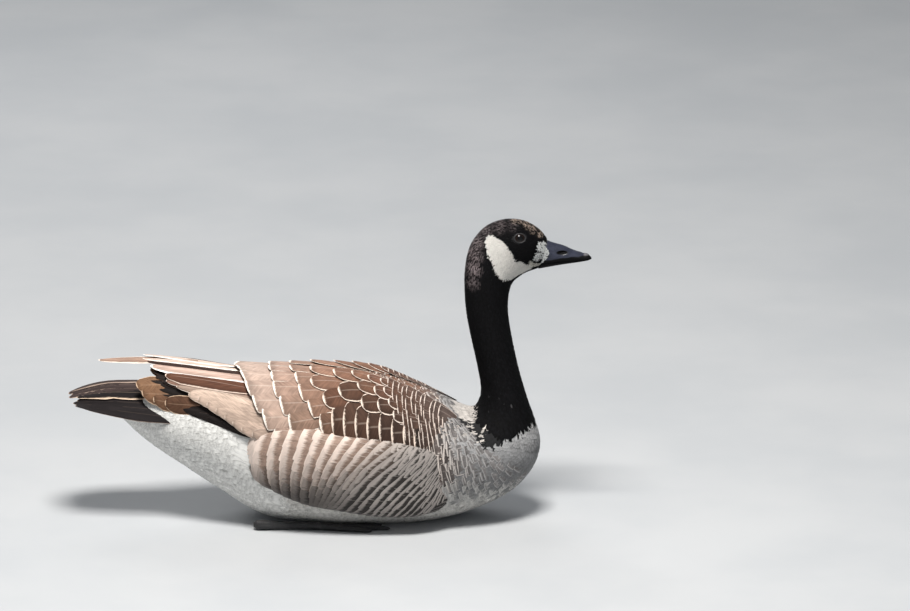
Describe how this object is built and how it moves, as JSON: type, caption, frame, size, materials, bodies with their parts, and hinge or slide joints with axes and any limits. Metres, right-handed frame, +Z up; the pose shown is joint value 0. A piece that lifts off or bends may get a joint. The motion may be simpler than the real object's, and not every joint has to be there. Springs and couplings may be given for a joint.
{
  "type": "canada goose model",
  "caption": "Life-size still model of a Canada goose, black neck upright, wings folded, sitting on its belly.",
  "frame": {"origin": "middle of the overall box, on the floor that the belly rests on", "axes": "+X towards the bill, +Y towards the bird's left side, +Z up"},
  "size_m": [0.6548, 0.2136, 0.385],
  "materials": {
    "white_plumage": "white undertail feathers",
    "body_plumage": "buff and grey barred flank and breast feathers",
    "black_plumage": "black head and neck feathers with a white cheek patch",
    "wing_plumage": "brown wing feathers with pale fringes",
    "tail_plumage": "blackish tail feathers",
    "bill_horn": "black horn with a soft sheen",
    "leg_skin": "black scaled skin",
    "eye_gloss": "wet dark brown"
  },
  "bodies": {
    "root": {"undertail": "white_plumage", "torso": "body_plumage", "neck": "black_plumage", "head": "black_plumage", "wing_left": "wing_plumage", "wing_right": "wing_plumage", "tail": "tail_plumage", "bill_upper": "bill_horn", "bill_lower": "bill_horn", "leg_left": "leg_skin", "leg_right": "leg_skin", "eye_left": "eye_gloss", "eye_right": "eye_gloss"}
  },
  "joints": []
}
